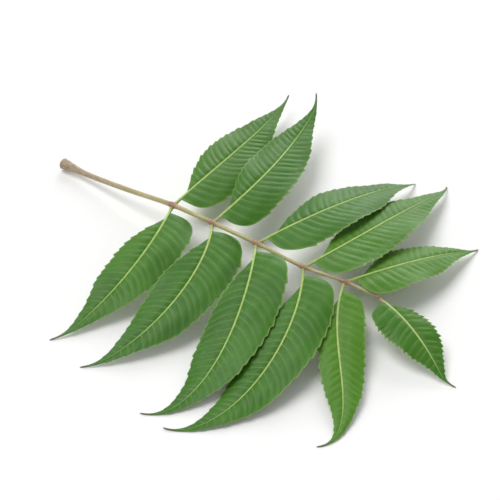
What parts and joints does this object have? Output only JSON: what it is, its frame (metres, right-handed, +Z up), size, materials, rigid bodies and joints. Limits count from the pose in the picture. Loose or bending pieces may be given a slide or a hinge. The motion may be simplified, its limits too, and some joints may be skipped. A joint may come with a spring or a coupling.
{
  "type": "neem leaf",
  "caption": "Pinnate neem leaf as picked: paired sickle-shaped leaflets with saw-toothed edges and a leaflet at the tip, on a thin stalk with a swollen foot.",
  "frame": {"origin": "under the middle of the leaf's bounding box, on the surface it lies on", "axes": "+X along the stalk from its foot to the leaf's tip, +Z up, upper side of the blades up"},
  "size_m": [0.1804, 0.1658, 0.0167],
  "materials": {
    "stalk": "fresh smooth tan-green leaf stalk, slightly pink at its joints",
    "leaflet": "fresh leaf, satin grey-green upper side, pale midrib and fine side veins",
    "young_leaflet": "fresh young leaf, satin yellow-green"
  },
  "bodies": {
    "root": {"rachis": "stalk", "leaflet_left_1": "leaflet", "leaflet_left_2": "leaflet", "leaflet_left_3": "leaflet", "leaflet_left_4": "leaflet", "leaflet_left_5": "young_leaflet", "leaflet_right_1": "leaflet", "leaflet_right_2": "leaflet", "leaflet_right_3": "leaflet", "leaflet_right_4": "leaflet", "leaflet_right_5": "leaflet", "leaflet_end": "young_leaflet"}
  },
  "joints": []
}
